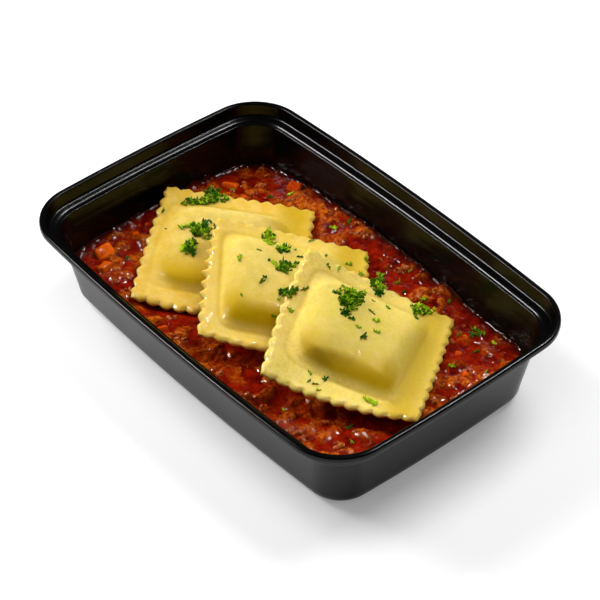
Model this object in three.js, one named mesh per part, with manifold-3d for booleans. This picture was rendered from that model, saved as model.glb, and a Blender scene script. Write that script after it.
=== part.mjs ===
// Ravioli in meat sauce, in a shallow black tray.
// Millimetres, +Z up. The origin is under the middle of the tray, on the surface it stands on.
// +X runs along the long side of the tray.

import * as THREE from 'three';
import { mergeVertices } from 'three/addons/utils/BufferGeometryUtils.js';
import Module from 'manifold-3d';

// ---------------------------------------------------------------- driving dimensions

const TRAY = {
	length: 222,
	width: 149.6,
	height: 45.2,
	cornerRadius: 22.8, // of the rim, seen from above
	endBow: 2.0, // the short sides bulge out by this much at their middle
	sideBow: 3.9, // and the long sides by this much
	wall: 0.8,
	skirtDepth: 2.7, // the rim's edge turned down
	landWidth: 2.7, // the flat top of the rim
	stepInset: 3.65, // foot of the short wall inside the rim
	stepDepth: 6.4,
	ledgeInset: 7.7, // inner edge of the ledge that a lid sits on
	wallFootInset: 14.0, // outer face of the wall, carried down to the ground
	footRadius: 6.7, // round edge at the bottom
};

const PASTA = {
	side: 70.4, // between opposite edges, across the middle of the scallops
	bulge: 1.2, // how far each edge bows outwards
	teeth: 11, // along each side
	toothDepth: 1.15, // from the mean outline to a crest
	halfThickness: 1.3, // of the pressed border
	pillowHalf: 28.5, // half the width of the filled pillow
	pillowPower: 6, // how square the pillow is
	pillowSink: 1.5,
	pillowSlope: 0.33, // share of the half width that the pillow's slope takes
	frontSlope: 0.1, // added to it at the front, and taken off at the back
	rightSlope: 0.05, // added to it at the right, and taken off at the left
};

// Where a ravioli lies on another, the lower one's filling gives way.
const PRESS = {
	gap: 0.5, // kept between the two
	reach: 3, // the dent goes on this far past the upper one's edge
	rise: 0.6, // and then climbs back up at this slope
	blend: 1,
};

// The three ravioli lie like shingles: each leans on the one before it.
// leanX is how far the right side dips and leanY how far the back side rises, in degrees.
// rise is the height of the filled pillow above the border.
// twist lifts two opposite corners and drops the other two, sag curls the left and right sides up,
// droop lets the left, back, right and front border hang down, and taper widens the back edge.
const RAVIOLI = [
	{
		name: 'ravioli_back', centre: [ - 48.0, - 1.5, 20.3 ], turn: 38.5, leanX: 1.2, leanY: 5.0, rise: 8.7,
		twist: 0.7, sag: 1.2, droop: [ - 1.0, 0, 0.7, - 0.2 ], taper: 0,
	},
	{
		name: 'ravioli_middle', centre: [ - 5.2, - 0.6, 26.2 ], turn: 45.3, leanX: 10.9, leanY: 2.5, rise: 9.6,
		twist: 1.9, sag: 2.4, droop: [ 0, 0.5, 0, 0.4 ], taper: 0,
	},
	{
		name: 'ravioli_front', centre: [ 42.9, 1.1, 26.6 ], turn: 34.2, leanX: 15.6, leanY: 2.9, rise: 10.3,
		twist: 4.2, sag: 3.2, droop: [ - 0.8, 0, - 0.6, 0 ], taper: 0.02,
	},
];

// Chopped parsley: where each pinch fell, in the ravioli's own plane, how far it spread and how many flakes.
const PARSLEY = {
	ravioli_back: [
		{ at: [ - 12, 29 ], spread: [ 7, 3 ], count: 5 },
		{ at: [ 0, 4 ], spread: [ 8, 5 ], count: 6 },
		{ at: [ - 29, 17 ], spread: [ 2, 6 ], count: 2 },
	],
	ravioli_middle: [
		{ at: [ 1, 26 ], spread: [ 7, 6 ], count: 6 },
		{ at: [ 10, 12 ], spread: [ 8, 5 ], count: 6 },
		{ at: [ - 12, 10 ], spread: [ 8, 8 ], count: 3 },
		{ at: [ 4, - 6 ], spread: [ 6, 6 ], count: 4 },
	],
	ravioli_front: [
		{ at: [ - 4, 11 ], spread: [ 7, 6 ], count: 7 },
		{ at: [ 6, 27 ], spread: [ 12, 4 ], count: 6 },
		{ at: [ 8, 4 ], spread: [ 8, 8 ], count: 5 },
		{ at: [ 29, 26 ], spread: [ 4, 3 ], count: 3 },
		{ at: [ - 14, - 29 ], spread: [ 6, 3 ], count: 3 },
		{ at: [ - 28, 6 ], spread: [ 3, 12 ], count: 2 },
	],
};

const FLAKE = { length: 4.2, width: 2.4, thickness: 0.9, sides: 5 };

const SAUCE = {
	level: 17.0, // in the middle
	slopeX: - 1 / 110,
	slopeY: 1 / 90,
	heaps: [ // x, y, reach along x, reach along y, height
		[ - 80, 8, 18, 22, 3 ],
		[ - 20, 60, 34, 22, 2.4 ],
		[ - 94, 54, 20, 16, - 2.6 ],
	],
	cell: 6.5, // spacing of the relief
	crumbs: 140, // bumps of minced meat
	crumbRadius: [ 3.5, 7 ],
	crumbHeight: [ 0.6, 2.4 ],
	gap: 0.3, // kept clear of the tray and of the ravioli
};

// Pieces that stand proud of the sauce: x, y, size.
const CARROT_DICE = [
	[ - 88, - 38, 8 ], [ - 79, - 44, 6 ], [ - 87, 33, 9 ], [ - 66, 56, 8 ], [ 62, - 31, 8 ], [ 81, - 3, 7 ], [ 58, 40, 7 ], [ - 30, - 52, 6 ],
];
const MEAT_CHUNKS = [
	[ - 52, 58, 9 ], [ - 78, 45, 8 ], [ - 20, - 50, 8 ], [ 8, - 50, 9 ], [ 28, - 54, 10 ], [ 62, - 48, 10 ], [ 78, - 40, 9 ],
	[ - 96, - 30, 7 ], [ - 62, - 52, 7 ], [ 12, 55, 8 ], [ 34, 57, 7 ], [ 80, 34, 8 ], [ 88, 16, 7 ], [ - 30, 54, 7 ],
];
const SAUCE_PARSLEY = [
	{ at: [ 60, 48 ], spread: [ 26, 7 ], count: 8 },
	{ at: [ 86, 8 ], spread: [ 5, 16 ], count: 5 },
	{ at: [ 2, 54 ], spread: [ 20, 6 ], count: 4 },
	{ at: [ 20, - 48 ], spread: [ 26, 6 ], count: 4 },
	{ at: [ - 78, - 34 ], spread: [ 8, 8 ], count: 2 },
];

const COLOURS = { tray: 0x0d0e0f, sauce: 0x6e1a08, pasta: 0xe2c572 };

const RING = { arc: 6, side: 4 }; // steps round each corner and along each side of the tray
const RAVIOLI_RING = 44; // points round the pillow
const SCALLOP_STEPS = 3; // points per tooth

// ---------------------------------------------------------------- helpers

const wasm = await Module();
wasm.setup();

// One repeatable stream of numbers from 0 to 1 for each seed.
function randomStream( seed ) {

	let state = seed;
	return () => {

		state = ( state + 0x6d2b79f5 ) | 0;
		let t = Math.imul( state ^ ( state >>> 15 ), 1 | state );
		t = ( t + Math.imul( t ^ ( t >>> 7 ), 61 | t ) ) ^ t;
		return ( ( t ^ ( t >>> 14 ) ) >>> 0 ) / 4294967296;

	};

}

const between = ( random, low, high ) => low + ( high - low ) * random();

// Joins rings of points into one closed surface: from a centre point, out and back to a centre point.
// Rings run anticlockwise seen from above; one ring may have a whole multiple of its neighbour's points.
function loft( start, rings, end ) {

	const positions = [];
	const index = [];
	const add = ( p ) => positions.push( p.x, p.y, p.z ) / 3 - 1;
	const first = add( start );
	const ids = rings.map( ( ring ) => ring.map( add ) );
	const last = add( end );

	const bottom = ids[ 0 ];
	bottom.forEach( ( id, i ) => index.push( first, bottom[ ( i + 1 ) % bottom.length ], id ) );
	for ( let k = 0; k + 1 < ids.length; k ++ ) strip( ids[ k ], ids[ k + 1 ], index );
	const top = ids[ ids.length - 1 ];
	top.forEach( ( id, i ) => index.push( last, id, top[ ( i + 1 ) % top.length ] ) );

	const geometry = new THREE.BufferGeometry();
	geometry.setAttribute( 'position', new THREE.Float32BufferAttribute( positions, 3 ) );
	geometry.setIndex( index );
	return geometry;

}

// Fills the band between two rings.
function strip( lower, upper, index ) {

	const coarse = Math.min( lower.length, upper.length );
	const a = lower.length / coarse;
	const b = upper.length / coarse;
	for ( let i = 0; i < coarse; i ++ ) {

		const lowerEnd = ( i + 1 ) * a % lower.length;
		const upperStart = i * b;
		for ( let k = 0; k < a; k ++ ) index.push( lower[ i * a + k ], lower[ ( i * a + k + 1 ) % lower.length ], upper[ upperStart ] );
		for ( let k = 0; k < b; k ++ ) index.push( lower[ lowerEnd ], upper[ ( i * b + k + 1 ) % upper.length ], upper[ i * b + k ] );

	}

}

function toSolid( geometry ) {

	const bare = geometry.clone();
	bare.deleteAttribute( 'normal' );
	bare.deleteAttribute( 'uv' );
	const merged = mergeVertices( bare, 1e-4 );
	return new wasm.Manifold( new wasm.Mesh( {
		numProp: 3,
		vertProperties: merged.attributes.position.array,
		triVerts: new Uint32Array( merged.index.array ),
	} ) );

}

function toGeometry( solid ) {

	const mesh = solid.getMesh();
	const geometry = new THREE.BufferGeometry();
	geometry.setAttribute( 'position', new THREE.BufferAttribute( new Float32Array( mesh.vertProperties ), 3 ) );
	geometry.setIndex( new THREE.BufferAttribute( new Uint32Array( mesh.triVerts ), 1 ) );
	return geometry;

}

// Cutting can leave loose scraps: only the largest piece is kept.
function largestPiece( solid ) {

	return solid.decompose().reduce( ( best, piece ) => ( piece.volume() > best.volume() ? piece : best ) );

}

// ---------------------------------------------------------------- tray

// A rounded rectangle with bulging sides, inset from the rim's outline by `inset`.
function trayRing( inset, z, radius = TRAY.cornerRadius - inset ) {

	const halfX = TRAY.length / 2 - TRAY.endBow;
	const halfY = TRAY.width / 2 - TRAY.sideBow;
	const a = halfX - inset;
	const b = halfY - inset;
	const corners = [ [ 1, - 1, - 90 ], [ 1, 1, 0 ], [ - 1, 1, 90 ], [ - 1, - 1, 180 ] ];
	const flat = [];
	for ( const [ sx, sy, from ] of corners ) {

		for ( let k = 0; k <= RING.arc; k ++ ) {

			const angle = THREE.MathUtils.degToRad( from + 90 * k / RING.arc );
			flat.push( new THREE.Vector2( sx * ( a - radius ) + radius * Math.cos( angle ), sy * ( b - radius ) + radius * Math.sin( angle ) ) );

		}

	}

	const ring = [];
	flat.forEach( ( p, i ) => {

		ring.push( p );
		const next = flat[ ( i + 1 ) % flat.length ];
		const endOfArc = i % ( RING.arc + 1 ) === RING.arc;
		for ( let k = 1; endOfArc && k < RING.side; k ++ ) ring.push( p.clone().lerp( next, k / RING.side ) );

	} );
	return ring.map( ( p ) => new THREE.Vector3(
		p.x * ( 1 + TRAY.endBow / halfX * ( 1 - ( p.y / b ) ** 2 ) ),
		p.y * ( 1 + TRAY.sideBow / halfY * ( 1 - ( p.x / a ) ** 2 ) ),
		z,
	) );

}

// Inset of the wall's outer face at height z.
function wallInset( z ) {

	const top = TRAY.height - TRAY.stepDepth;
	return THREE.MathUtils.mapLinear( z, 0, top, TRAY.wallFootInset, TRAY.ledgeInset + 0.4 );

}

const WALL_RADIUS = TRAY.cornerRadius - TRAY.ledgeInset;

// The round bottom edge: `offset` inwards of the outer face, ending on the floor.
function footRings( offset ) {

	const radius = TRAY.footRadius - offset;
	const rings = [];
	const steps = 4;
	for ( let k = 0; k < steps; k ++ ) {

		const angle = Math.PI / 2 * k / steps;
		const inward = radius * ( 1 - Math.sin( angle ) );
		const z = offset + radius * ( 1 - Math.cos( angle ) );
		rings.push( trayRing( wallInset( TRAY.footRadius ) + offset + inward, z, WALL_RADIUS - offset - inward ) );

	}

	return rings;

}

function trayGeometry() {

	const t = TRAY.wall;
	const top = TRAY.height;
	const stepZ = top - TRAY.stepDepth;
	const ledgeZ = stepZ - 0.8;
	const outer = [
		...footRings( 0 ),
		trayRing( wallInset( TRAY.footRadius ), TRAY.footRadius, WALL_RADIUS ),
		trayRing( wallInset( ledgeZ - t ), ledgeZ - t, WALL_RADIUS ),
		trayRing( TRAY.stepInset - t + 0.6, stepZ - t ),
		trayRing( TRAY.stepInset - t, stepZ ),
		trayRing( TRAY.landWidth - t + 0.1, top - t ),
		trayRing( t, top - t - 0.2 ),
		trayRing( t, top - TRAY.skirtDepth ),
		trayRing( 0, top - TRAY.skirtDepth ),
		trayRing( 0, top - 0.6 ),
		trayRing( 0.6, top ),
	];
	const inner = [
		trayRing( TRAY.landWidth, top ),
		trayRing( TRAY.landWidth + 0.4, top - 0.5 ),
		trayRing( TRAY.stepInset, stepZ + 0.6 ),
		trayRing( TRAY.stepInset + 0.6, stepZ ),
		trayRing( TRAY.ledgeInset - 0.4, ledgeZ + 0.1 ),
		trayRing( wallInset( ledgeZ - 1.2 ) + t, ledgeZ - 1.2, WALL_RADIUS - t ),
		trayRing( wallInset( TRAY.footRadius ) + t, TRAY.footRadius, WALL_RADIUS - t ),
		...footRings( t ).reverse(),
	];
	return loft( new THREE.Vector3( 0, 0, 0 ), [ ...outer, ...inner ], new THREE.Vector3( 0, 0, t ) );

}

// The space inside the tray, kept `gap` clear of it.
function cavitySolid( gap ) {

	const offset = TRAY.wall + gap;
	const lid = TRAY.height - TRAY.stepDepth - 2;
	const rings = [
		...footRings( offset ),
		trayRing( wallInset( TRAY.footRadius ) + offset, TRAY.footRadius, WALL_RADIUS - offset ),
		trayRing( wallInset( lid ) + offset, lid, WALL_RADIUS - offset ),
	];
	return toSolid( loft( new THREE.Vector3( 0, 0, offset ), rings, new THREE.Vector3( 0, 0, lid ) ) );

}

// ---------------------------------------------------------------- ravioli

// Share of the pillow's full height at x, y in the ravioli's plane.
function pillowShare( x, y ) {

	const power = PASTA.pillowPower;
	const reach = ( Math.abs( x / PASTA.pillowHalf ) ** power + Math.abs( y / PASTA.pillowHalf ) ** power ) ** ( 1 / power );
	const radius = Math.hypot( x, y ) + 1e-6;
	const slope = PASTA.pillowSlope - PASTA.frontSlope * y / radius + PASTA.rightSlope * x / radius;
	const climb = THREE.MathUtils.clamp( ( 1 - reach ) / slope, 0, 1 );
	const crown = 0.9 + 0.1 * Math.max( 0, 1 - reach ** 2 );
	return crown * Math.sin( climb * Math.PI / 2 ) ** 1.2;

}

// The plane a ravioli lies in.
function frameOf( ravioli ) {

	const { degToRad } = THREE.MathUtils;
	const right = new THREE.Vector3( Math.cos( degToRad( ravioli.turn ) ), Math.sin( degToRad( ravioli.turn ) ), 0 );
	right.multiplyScalar( Math.cos( degToRad( ravioli.leanX ) ) ).setZ( - Math.sin( degToRad( ravioli.leanX ) ) );
	const back = new THREE.Vector3( 0, 0, 1 ).cross( right ).normalize();
	back.applyAxisAngle( right, degToRad( ravioli.leanY ) );
	const up = right.clone().cross( back );
	return new THREE.Matrix4().makeBasis( right, back, up ).setPosition( ...ravioli.centre );

}

// How far the middle layer of the dough lies above the ravioli's plane.
function liftOf( ravioli, x, y ) {

	const u = 2 * x / PASTA.side;
	const v = 2 * y / PASTA.side;
	const hang = ( share ) => THREE.MathUtils.smoothstep( share, 0.45, 1 );
	const [ left, back, right, front ] = ravioli.droop;
	const droop = left * hang( - u ) + back * hang( v ) + right * hang( u ) + front * hang( - v );
	return ravioli.sag * ( u ** 2 - 1 / 3 ) - ravioli.twist * u * v - droop;

}

// Pushes a point of a top face down, clear of the ravioli that lies over it.
function press( point, upper ) {

	const matrix = frameOf( upper );
	const { x, y, z } = point.clone().applyMatrix4( matrix.clone().invert() );
	const thick = PASTA.halfThickness + PASTA.pillowSink * pillowShare( x, y );
	const underside = liftOf( upper, x, y ) - thick - PRESS.gap;
	const beyond = Math.max( Math.abs( x ), Math.abs( y ) ) - PASTA.side / 2 - PRESS.reach;
	const excess = z - underside - PRESS.rise * Math.max( 0, beyond );
	const push = ( excess + Math.hypot( excess, PRESS.blend ) ) / 2;
	return point.addScaledVector( new THREE.Vector3().setFromMatrixColumn( matrix, 2 ), - push );

}

// A point of the ravioli: x and y in its plane, and a distance above its middle layer.
function bend( ravioli, matrix, x, y, above ) {

	const wide = x * ( 1 + ravioli.taper * 2 * y / PASTA.side );
	const point = new THREE.Vector3( wide, y, liftOf( ravioli, x, y ) + above ).applyMatrix4( matrix );
	const upper = RAVIOLI[ RAVIOLI.indexOf( ravioli ) + 1 ];
	return above > 0 && upper ? press( point, upper ) : point;

}

// A point on the top face.
function topPoint( ravioli, matrix, x, y ) {

	return bend( ravioli, matrix, x, y, PASTA.halfThickness + ravioli.rise * pillowShare( x, y ) );

}

// A square ring whose sides bow out by `bulge`, with rounded lobes where `tooth` is above 0.
function squareRing( half, count, bulge = 0, tooth = 0 ) {

	const ring = [];
	const perSide = count / 4;
	const cornerReach = half + tooth * 0.5;
	const directions = [ [ 1, 0 ], [ 0, 1 ], [ - 1, 0 ], [ 0, - 1 ] ];
	for ( const [ dx, dy ] of directions ) {

		ring.push( [ ( dx + dy ) * cornerReach, ( dy - dx ) * cornerReach ] );
		for ( let k = 1; k < perSide; k ++ ) {

			const along = - 1 + 2 * k / perSide;
			const lobe = Math.abs( Math.sin( k / perSide * PASTA.teeth * Math.PI ) );
			const out = half + bulge * ( 1 - along ** 2 ) + tooth * ( 2.3 * lobe - 1 );
			ring.push( [ dx * out - dy * along * half, dy * out + dx * along * half ] );

		}

	}

	return ring;

}

// `grow` thickens the ravioli all round; a plain one has a smooth edge that takes in its scallops.
function ravioliGeometry( ravioli, grow = 0, plain = false ) {

	const matrix = frameOf( ravioli );
	const half = PASTA.side / 2 + grow;
	const thick = PASTA.halfThickness + grow;
	const place = ( above ) => ( [ x, y ] ) => bend( ravioli, matrix, x, y, above( x, y ) );
	const onTop = place( ( x, y ) => thick + ravioli.rise * pillowShare( x, y ) );
	const below = place( ( x, y ) => - thick - PASTA.pillowSink * pillowShare( x, y ) );
	const pillowRing = ( share ) => squareRing( PASTA.pillowHalf * share, RAVIOLI_RING );
	const edgeRing = ( inset, above ) => {

		const ring = plain
			? squareRing( half + PASTA.toothDepth - inset, RAVIOLI_RING, PASTA.bulge )
			: squareRing( half - inset, RAVIOLI_RING * SCALLOP_STEPS, PASTA.bulge, PASTA.toothDepth );
		return ring.map( place( () => above ) );

	};

	const rings = [
		...[ 0.5, 0.8, 1 ].map( ( share ) => pillowRing( share ).map( below ) ),
		edgeRing( 0.6, - thick ),
		edgeRing( 0, 0.3 * thick ),
		edgeRing( 0.3, thick ),
		...[ 1, 0.92, 0.82, 0.7, 0.55, 0.3 ].map( ( share ) => pillowRing( share ).map( onTop ) ),
	];
	return loft( below( [ 0, 0 ] ), rings, onTop( [ 0, 0 ] ) );

}

// Each ravioli with the gap that its neighbours keep from it.
const grownRavioli = RAVIOLI.map( ( ravioli ) => toSolid( ravioliGeometry( ravioli, SAUCE.gap, true ) ) );

// ---------------------------------------------------------------- parsley

// One flake lying on `point`, tilted a little from `normal`.
function flakeSolid( point, normal, random ) {

	const geometry = new THREE.CylinderGeometry( 0.5, 0.5, 1, FLAKE.sides );
	geometry.rotateX( Math.PI / 2 );
	geometry.scale( FLAKE.length * between( random, 0.6, 1.2 ), FLAKE.width * between( random, 0.7, 1.3 ), FLAKE.thickness );
	geometry.rotateX( between( random, - 0.25, 0.25 ) );
	geometry.rotateY( between( random, - 0.25, 0.25 ) );
	geometry.rotateZ( between( random, 0, 2 * Math.PI ) );
	geometry.applyQuaternion( new THREE.Quaternion().setFromUnitVectors( new THREE.Vector3( 0, 0, 1 ), normal ) );
	geometry.translate( point.x, point.y, point.z );
	return toSolid( geometry );

}

// Drops each pinch of flakes on a surface given by `pointAt( x, y )`, leaving out those that touch a neighbour.
function scatter( pinches, pointAt, random, neighbours ) {

	const step = 0.5;
	const flakes = [];
	for ( const { at, spread, count } of pinches ) {

		for ( let k = 0; k < count; k ++ ) {

			const x = at[ 0 ] + spread[ 0 ] * between( random, - 1, 1 );
			const y = at[ 1 ] + spread[ 1 ] * between( random, - 1, 1 );
			const point = pointAt( x, y );
			const alongX = pointAt( x + step, y ).sub( point );
			const alongY = pointAt( x, y + step ).sub( point );
			const normal = alongX.cross( alongY ).normalize();
			flakes.push( flakeSolid( point.addScaledVector( normal, FLAKE.thickness / 4 ), normal, random ) );

		}

	}

	const isClear = ( flake ) => neighbours.every( ( neighbour ) => flake.intersect( neighbour ).isEmpty() );
	return wasm.Manifold.union( flakes.filter( isClear ) );

}

// ---------------------------------------------------------------- sauce

const crumbRandom = randomStream( 7 );
const crumbs = Array.from( { length: SAUCE.crumbs }, () => ( {
	x: between( crumbRandom, - 100, 100 ),
	y: between( crumbRandom, - 64, 64 ),
	radius: between( crumbRandom, ...SAUCE.crumbRadius ),
	height: between( crumbRandom, ...SAUCE.crumbHeight ),
} ) );

// Height of the sauce: nearly level, heaped up a little in places, with the crumbs in it.
function sauceHeight( x, y ) {

	const level = SAUCE.level + SAUCE.slopeX * x + SAUCE.slopeY * y;
	let heaped = 0;
	for ( const [ heapX, heapY, reachX, reachY, height ] of SAUCE.heaps ) {

		heaped += height * Math.exp( - ( ( ( x - heapX ) / reachX ) ** 2 + ( ( y - heapY ) / reachY ) ** 2 ) );

	}

	let lumps = 0;
	for ( const crumb of crumbs ) {

		const distance = Math.hypot( x - crumb.x, y - crumb.y ) / crumb.radius;
		if ( distance < 1 ) lumps = Math.max( lumps, crumb.height * ( 1 - distance ** 2 ) );

	}

	return level + heaped + lumps;

}

const saucePoint = ( x, y ) => new THREE.Vector3( x, y, sauceHeight( x, y ) );

// A block whose top carries the sauce's relief.
function reliefSolid() {

	const columns = Math.round( TRAY.length / SAUCE.cell );
	const rows = Math.round( TRAY.width / SAUCE.cell );
	const geometry = new THREE.BoxGeometry( TRAY.length, TRAY.width, 1, columns, rows, 1 );
	const position = geometry.attributes.position;
	for ( let i = 0; i < position.count; i ++ ) {

		const onTop = position.getZ( i ) > 0;
		position.setZ( i, onTop ? sauceHeight( position.getX( i ), position.getY( i ) ) : - 1 );

	}

	return toSolid( geometry );

}

// A die of carrot or a lump of meat, half sunk in the sauce.
function chunkSolid( geometry, [ x, y, size ], random ) {

	geometry.scale( size, size * between( random, 0.7, 1 ), size * between( random, 0.7, 1 ) );
	geometry.rotateX( between( random, - 0.6, 0.6 ) );
	geometry.rotateZ( between( random, 0, Math.PI ) );
	geometry.translate( x, y, sauceHeight( x, y ) - size * 0.15 );
	return toSolid( geometry );

}

function sauceSolid() {

	const random = randomStream( 21 );
	const dice = CARROT_DICE.map( ( spot ) => chunkSolid( new THREE.BoxGeometry( 0.8, 0.8, 0.8 ), spot, random ) );
	const lumps = MEAT_CHUNKS.map( ( spot ) => chunkSolid( new THREE.IcosahedronGeometry( 0.55 ), spot, random ) );
	const flakes = scatter( SAUCE_PARSLEY, saucePoint, random, grownRavioli );
	const heaped = wasm.Manifold.union( [ reliefSolid(), ...dice, ...lumps, flakes ] );
	let sauce = heaped.intersect( cavitySolid( SAUCE.gap ) );
	for ( const ravioli of grownRavioli ) sauce = sauce.subtract( ravioli );
	return largestPiece( sauce );

}

// ---------------------------------------------------------------- assembly

function mesh( name, geometry, colour, roughness ) {

	const material = new THREE.MeshStandardMaterial( { color: colour, roughness, metalness: 0 } );
	const object = new THREE.Mesh( geometry, material );
	object.name = name;
	return object;

}

function ravioliMesh( ravioli, order ) {

	const matrix = frameOf( ravioli );
	const neighbours = grownRavioli.filter( ( _, k ) => k !== order );
	const pointAt = ( x, y ) => topPoint( ravioli, matrix, x, y );
	const flakes = scatter( PARSLEY[ ravioli.name ], pointAt, randomStream( 100 + order ), neighbours );
	const solid = toSolid( ravioliGeometry( ravioli ) ).add( flakes );
	return mesh( ravioli.name, toGeometry( largestPiece( solid ) ), COLOURS.pasta, 0.45 );

}

const meal = new THREE.Group();
meal.add( mesh( 'tray', trayGeometry(), COLOURS.tray, 0.3 ) );
meal.add( mesh( 'sauce', toGeometry( sauceSolid() ), COLOURS.sauce, 0.35 ) );
RAVIOLI.forEach( ( ravioli, order ) => meal.add( ravioliMesh( ravioli, order ) ) );

export default meal;
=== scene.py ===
# %% [markdown]
# # Ravioli in meat sauce
# This lesson dresses a plain CAD model of a ready meal: three large ravioli on a chunky meat sauce, in
# a shallow black tray. The CAD solids fix where everything is. Each cell here makes one piece or one
# finish. The first cell loads the solids as a fixed frame.

# %% Load the frame
import math

import bmesh
import bpy
import numpy as np
from mathutils import Matrix, Vector, noise
from mathutils.bvhtree import BVHTree


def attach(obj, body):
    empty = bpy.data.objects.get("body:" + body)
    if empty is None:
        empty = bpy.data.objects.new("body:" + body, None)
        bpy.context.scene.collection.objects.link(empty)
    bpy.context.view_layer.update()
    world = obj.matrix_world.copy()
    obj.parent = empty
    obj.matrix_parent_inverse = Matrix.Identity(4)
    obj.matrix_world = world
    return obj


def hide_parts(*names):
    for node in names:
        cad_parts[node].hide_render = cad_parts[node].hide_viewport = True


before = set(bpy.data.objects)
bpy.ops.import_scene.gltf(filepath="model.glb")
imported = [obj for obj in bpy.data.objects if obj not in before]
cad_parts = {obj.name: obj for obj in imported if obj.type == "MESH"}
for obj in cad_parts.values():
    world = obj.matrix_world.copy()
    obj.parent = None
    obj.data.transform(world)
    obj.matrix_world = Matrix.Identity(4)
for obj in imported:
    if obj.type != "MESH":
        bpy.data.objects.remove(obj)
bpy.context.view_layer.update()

MM = 0.001
print("nodes:", sorted(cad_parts))

# %% [markdown]
# ## The camera
# A camera can be pointed by hand, or given by a few angles: how far round the tray it stands, how high
# it looks down from, how far away it is, and a slight roll. Angles are easier to read and to adjust.
# The long lens keeps the sides of the tray almost parallel. The same numbers give a helper that finds
# the line of sight through a spot of the view, which later cells use to drop parsley where it should
# show.

# %% Camera
AZIMUTH, ELEVATION, ROLL = (math.radians(a) for a in (50.154, 41.986, -0.657))
DISTANCE = 1.02818
TARGET = Vector((7.613, -2.811, 30.569)) * MM
# The view is measured in points: this many across and down, and the focal length in the same points.
VIEW_SIDE = 600
FOCAL_LENGTH = 2310.2


def camera_axes():
    """Right, up and back of the camera, in the frame."""
    back = Vector((math.sin(AZIMUTH) * math.cos(ELEVATION), -math.cos(AZIMUTH) * math.cos(ELEVATION),
                   math.sin(ELEVATION)))
    level = Vector((math.cos(AZIMUTH), math.sin(AZIMUTH), 0))
    upright = back.cross(level)
    right = math.cos(ROLL) * level + math.sin(ROLL) * upright
    up = math.cos(ROLL) * upright - math.sin(ROLL) * level
    return right, up, back


RIGHT, UP, BACK = camera_axes()
EYE = TARGET + BACK * DISTANCE
camera_data = bpy.data.cameras.new("camera")
camera_data.sensor_width = 36
camera_data.lens = FOCAL_LENGTH / VIEW_SIDE * camera_data.sensor_width
camera = bpy.data.objects.new("camera", camera_data)
bpy.context.scene.collection.objects.link(camera)
camera.matrix_world = Matrix((RIGHT, UP, BACK)).transposed().to_4x4()
camera.matrix_world.translation = EYE
bpy.context.scene.camera = camera


def line_of_sight(across, down):
    """Direction from the eye through a spot of the view, in points from its upper left corner."""
    x = (across - VIEW_SIDE / 2) / FOCAL_LENGTH
    y = (VIEW_SIDE / 2 - down) / FOCAL_LENGTH
    return (RIGHT * x + UP * y - BACK).normalized()


print("lens", round(camera_data.lens, 1), "mm")

# %% [markdown]
# ## Helpers for pieces
# Every piece here is a mesh made from arrays of points, in millimetres because that is how a dish is
# measured. One helper turns points and faces into an object, and another stretches a skin over rings of
# points, like the staves over the hoops of a barrel. Arrays are quicker than adding one vertex at a
# time, and they keep the shape in the hands of a formula.

# %% Piece helpers
def make_piece(name, points, faces, material, replaces=None):
    """A smooth mesh from points in millimetres, riding on the tray."""
    mesh = bpy.data.meshes.new(name)
    mesh.from_pydata((np.asarray(points, float) * MM).tolist(), [], faces)
    mesh.polygons.foreach_set("use_smooth", np.ones(len(mesh.polygons), bool))
    mesh.materials.append(material)
    piece = bpy.data.objects.new(name, mesh)
    bpy.context.scene.collection.objects.link(piece)
    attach(piece, "root")
    if replaces:
        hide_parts(replaces)
    print(name, len(mesh.polygons), "faces")
    return piece


def paint(piece, name, values):
    """Stores one number for each point, which a material can read by its name."""
    attribute = piece.data.attributes.new(name, "FLOAT", "POINT")
    attribute.data.foreach_set("value", np.asarray(values, np.float32))


def skin_over(rings, first_middle, last_middle):
    """Points and faces of a skin over closed rings, with a fan of triangles at each end."""
    count = len(rings[0])
    points = np.concatenate([*rings, [first_middle], [last_middle]])
    steps = np.arange(count)
    following = (steps + 1) % count
    bands = []
    for ring in range(len(rings) - 1):
        start, other = ring * count, (ring + 1) * count
        bands.append(np.stack([start + steps, start + following, other + following, other + steps], 1))
    last = (len(rings) - 1) * count
    first_fan = np.stack([0 * steps + len(points) - 2, following, steps], 1)
    last_fan = np.stack([0 * steps + len(points) - 1, last + steps, last + following], 1)
    return points, np.concatenate(bands).tolist() + first_fan.tolist() + last_fan.tolist()


def smoothstep(t):
    """A soft step from 0 to 1 while t runs from 0 to 1."""
    t = np.clip(t, 0, 1)
    return t * t * (3 - 2 * t)


def rough(points, size, seed=0.0, octaves=1):
    """Smooth noise from about -1 to 1 whose bumps are `size` across."""
    scaled = np.asarray(points, float) / size + seed
    if octaves == 1:
        return np.array([noise.noise(p) for p in scaled.tolist()])
    return np.array([noise.fractal(p, 0.6, 2.0, octaves) for p in scaled.tolist()])


print("a soft step runs through", [round(float(smoothstep(k / 4)), 2) for k in range(5)])

# %% [markdown]
# ## Helpers for materials
# A finish is a small network of nodes. It could be wired by hand in the shader editor. Here short
# helpers add a node, set its inputs and return its output, so a finish reads like a recipe. Numbers
# that are the same all over are set on the shader's own sockets.

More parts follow.
